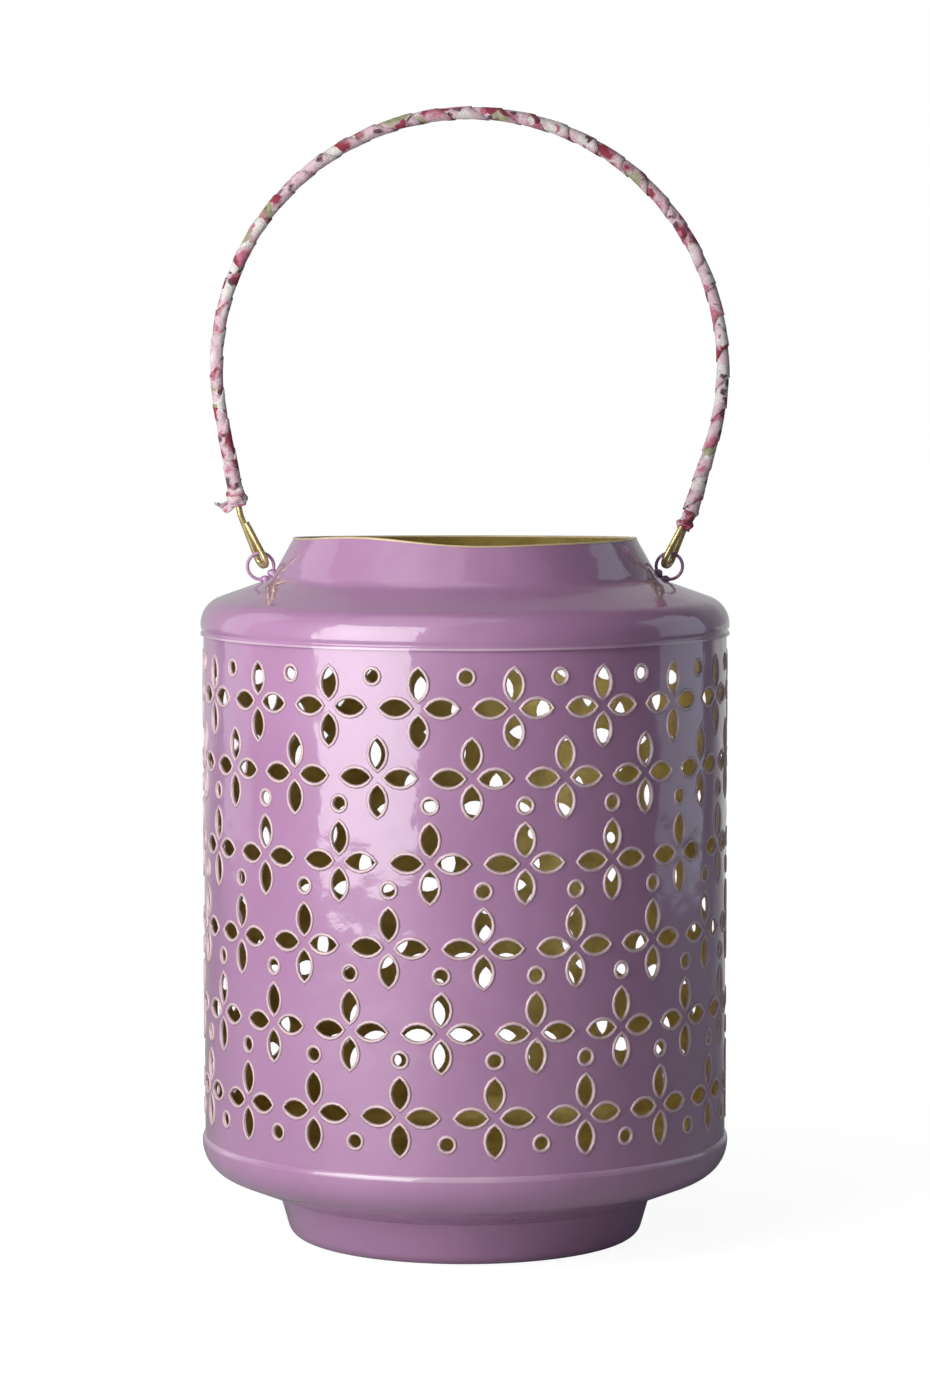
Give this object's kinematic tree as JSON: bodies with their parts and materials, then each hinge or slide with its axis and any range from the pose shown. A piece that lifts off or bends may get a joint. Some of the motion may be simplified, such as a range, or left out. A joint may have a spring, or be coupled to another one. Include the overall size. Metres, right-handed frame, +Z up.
{
  "type": "candle lantern",
  "caption": "Round pierced-metal candle lantern with a flared open mouth, a footed pan base, wire ears and a swinging cloth-wrapped wire bail.",
  "frame": {"origin": "centre of the foot's resting plane", "axes": "+Z up along the lantern's axis, +X to the right ear seen from the front, -Y towards the viewer"},
  "size_m": [0.1604, 0.1604, 0.3426],
  "materials": {
    "lilac_enamel": "glossy lilac enamel outside, gold lacquer inside",
    "brass_wire": "dull brass-coloured wire",
    "printed_cotton": "matt printed cotton in pink, crimson, cream and sage"
  },
  "bodies": {
    "lantern": {"pierced_body": "lilac_enamel", "shoulder_cap": "lilac_enamel", "base_pan": "lilac_enamel", "foot_ring": "lilac_enamel", "left_ear_ring": "lilac_enamel", "right_ear_ring": "lilac_enamel", "left_ear_solder": "lilac_enamel", "right_ear_solder": "lilac_enamel"},
    "bail": {"bail_wire": "brass_wire", "fabric_wrap": "printed_cotton", "left_wrap_knot": "printed_cotton", "right_wrap_tuck": "printed_cotton"}
  },
  "joints": [
    {"name": "bail_swing", "type": "hinge", "parent": "lantern", "child": "bail", "pos_m": [0, 0, 0.20725], "axis": [1, 0, 0], "range_deg": [-110, 110]}
  ]
}
